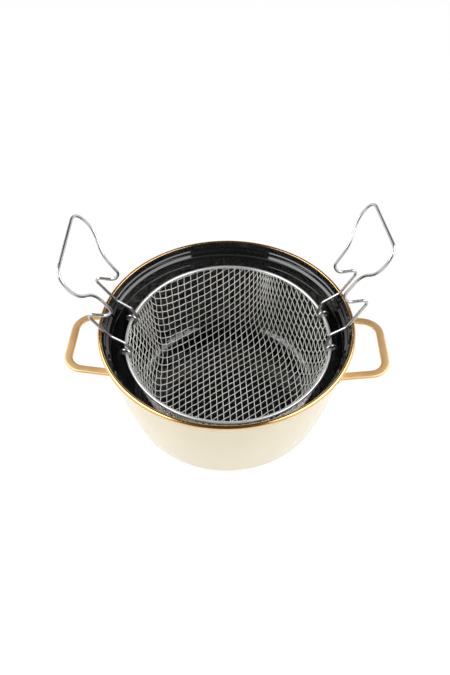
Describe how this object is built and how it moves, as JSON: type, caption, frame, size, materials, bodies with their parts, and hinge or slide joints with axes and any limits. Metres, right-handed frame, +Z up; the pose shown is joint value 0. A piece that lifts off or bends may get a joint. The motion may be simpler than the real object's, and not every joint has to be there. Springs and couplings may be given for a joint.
{
  "type": "frying pot",
  "caption": "Round flared pot with a gold rim, flat-bar side handles and a lift-out wire basket on two folding wire handles.",
  "frame": {"origin": "middle of the pot's flat base, on the surface it stands on", "axes": "+Z up along the pot's axis, +X through the pot's right handle, +Y to the rear as pictured"},
  "size_m": [0.3094, 0.24, 0.2096],
  "materials": {
    "enamel": "glossy cream enamel outside, black enamel inside",
    "polished_gold": "polished, gold coloured",
    "satin_gold": "satin, gold coloured",
    "bright_wire": "bright plated wire"
  },
  "bodies": {
    "pot": {"pot_body": "enamel", "rim_band": "polished_gold", "pot_handle_left": "satin_gold", "pot_handle_right": "satin_gold"},
    "basket": {"basket_ring": "bright_wire", "basket_net": "bright_wire"},
    "wire_handle_left": {"basket_handle_left": "bright_wire"},
    "wire_handle_right": {"basket_handle_right": "bright_wire"}
  },
  "joints": [
    {"name": "basket_lift", "type": "slide", "parent": "pot", "child": "basket", "axis": [0, 0, 1], "range_m": [0, 0.14]},
    {"name": "left_handle_swing", "type": "hinge", "parent": "basket", "child": "wire_handle_left", "pos_m": [-0.09405, -0.00017, 0.0887], "axis": [-0.007, 1, 0], "range_deg": [-10, 85]},
    {"name": "right_handle_swing", "type": "hinge", "parent": "basket", "child": "wire_handle_right", "pos_m": [0.09662, 0.00966, 0.0887], "axis": [0.0958, -0.9954, 0], "range_deg": [0, 105]}
  ]
}
